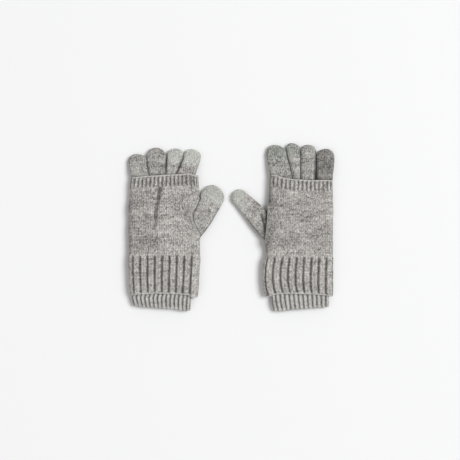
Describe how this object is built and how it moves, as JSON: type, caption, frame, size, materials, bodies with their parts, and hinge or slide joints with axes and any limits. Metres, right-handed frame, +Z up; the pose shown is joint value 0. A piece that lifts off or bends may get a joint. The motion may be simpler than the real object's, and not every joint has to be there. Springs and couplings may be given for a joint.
{
  "type": "two-layer knitted gloves",
  "caption": "Pair of knitted full-finger gloves with conductive fingertips, each inside a fingerless ribbed sleeve with a side opening for the thumb.",
  "frame": {"origin": "on the surface that the pair lies on, below the middle of the pair's bounding box", "axes": "+Y to the fingertips, +X to the little-finger side of the left-hand glove, +Z up, out of the palm sides"},
  "size_m": [0.2758, 0.2278, 0.0144],
  "materials": {
    "sleeve_knit": "grey heather plain knit, soft and slightly fuzzy",
    "sleeve_rib": "grey heather ribbed knit",
    "sleeve_edge": "cast-off edge of the same yarn",
    "glove_knit": "grey heather fine plain knit",
    "glove_rib": "grey heather fine ribbed knit",
    "touch_yarn": "light grey-green conductive yarn, plain knit",
    "elastic": "covered elastic thread"
  },
  "bodies": {
    "right_glove": {"right_wrist_cuff": "glove_rib", "right_wrist_elastic": "elastic", "right_hand": "glove_knit", "right_thumb_lower": "glove_knit", "right_little_lower": "glove_knit", "right_ring_lower": "glove_knit", "right_middle_lower": "glove_knit", "right_index_lower": "glove_knit"},
    "right_sleeve": {"right_sleeve_hem_edge": "sleeve_edge", "right_sleeve_cuff": "sleeve_rib", "right_sleeve_body": "sleeve_knit", "right_thumb_opening_edge": "sleeve_edge", "right_sleeve_top_band": "sleeve_rib", "right_sleeve_top_edge": "sleeve_edge"},
    "right_little": {"right_little_upper": "glove_knit"},
    "right_ring": {"right_ring_upper": "glove_knit"},
    "right_middle": {"right_middle_upper": "glove_knit", "right_middle_touch_tip": "touch_yarn"},
    "right_index": {"right_index_upper": "glove_knit", "right_index_touch_tip": "touch_yarn"},
    "right_thumb": {"right_thumb_upper": "glove_knit", "right_thumb_touch_tip": "touch_yarn"},
    "left_glove": {"left_wrist_cuff": "glove_rib", "left_wrist_elastic": "elastic", "left_hand": "glove_knit", "left_thumb_lower": "glove_knit", "left_little_lower": "glove_knit", "left_ring_lower": "glove_knit", "left_middle_lower": "glove_knit", "left_index_lower": "glove_knit"},
    "left_sleeve": {"left_sleeve_hem_edge": "sleeve_edge", "left_sleeve_cuff": "sleeve_rib", "left_sleeve_body": "sleeve_knit", "left_thumb_opening_edge": "sleeve_edge", "left_sleeve_top_band": "sleeve_rib", "left_sleeve_top_edge": "sleeve_edge"},
    "left_little": {"left_little_upper": "glove_knit"},
    "left_ring": {"left_ring_upper": "glove_knit"},
    "left_middle": {"left_middle_upper": "glove_knit", "left_middle_touch_tip": "touch_yarn"},
    "left_index": {"left_index_upper": "glove_knit", "left_index_touch_tip": "touch_yarn"},
    "left_thumb": {"left_thumb_upper": "glove_knit", "left_thumb_touch_tip": "touch_yarn"}
  },
  "joints": [
    {"name": "right_little_curl", "type": "hinge", "parent": "right_glove", "child": "right_little", "pos_m": [-0.12382, 0.0735, 0.0118], "axis": [1, 0, 0], "range_deg": [0, 90]},
    {"name": "right_ring_curl", "type": "hinge", "parent": "right_glove", "child": "right_ring", "pos_m": [-0.10307, 0.0735, 0.0118], "axis": [1, 0, 0], "range_deg": [0, 90]},
    {"name": "right_middle_curl", "type": "hinge", "parent": "right_glove", "child": "right_middle", "pos_m": [-0.08232, 0.0735, 0.0118], "axis": [1, 0, 0], "range_deg": [0, 90]},
    {"name": "right_index_curl", "type": "hinge", "parent": "right_glove", "child": "right_index", "pos_m": [-0.06157, 0.0735, 0.0118], "axis": [1, 0, 0], "range_deg": [0, 90]},
    {"name": "right_thumb_curl", "type": "hinge", "parent": "right_glove", "child": "right_thumb", "pos_m": [-0.0331, 0.02341, 0.0118], "axis": [0.866, -0.5, 0], "range_deg": [0, 90]},
    {"name": "right_sleeve_slide", "type": "slide", "parent": "right_glove", "child": "right_sleeve", "axis": [0, -1, 0], "range_m": [-0.004, 0.01]},
    {"name": "left_little_curl", "type": "hinge", "parent": "left_glove", "child": "left_little", "pos_m": [0.12432, 0.0735, 0.0118], "axis": [1, 0, 0], "range_deg": [0, 90]},
    {"name": "left_ring_curl", "type": "hinge", "parent": "left_glove", "child": "left_ring", "pos_m": [0.10357, 0.0735, 0.0118], "axis": [1, 0, 0], "range_deg": [0, 90]},
    {"name": "left_middle_curl", "type": "hinge", "parent": "left_glove", "child": "left_middle", "pos_m": [0.08282, 0.0735, 0.0118], "axis": [1, 0, 0], "range_deg": [0, 90]},
    {"name": "left_index_curl", "type": "hinge", "parent": "left_glove", "child": "left_index", "pos_m": [0.06207, 0.0735, 0.0118], "axis": [1, 0, 0], "range_deg": [0, 90]},
    {"name": "left_thumb_curl", "type": "hinge", "parent": "left_glove", "child": "left_thumb", "pos_m": [0.02991, 0.02004, 0.0118], "axis": [0.7193, 0.6947, 0], "range_deg": [0, 90]},
    {"name": "left_sleeve_slide", "type": "slide", "parent": "left_glove", "child": "left_sleeve", "axis": [0, -1, 0], "range_m": [-0.004, 0.01]},
    {"name": "left_glove_lift", "type": "slide", "parent": "right_glove", "child": "left_glove", "axis": [0, 0, 1], "range_m": [0, 0.15]}
  ]
}
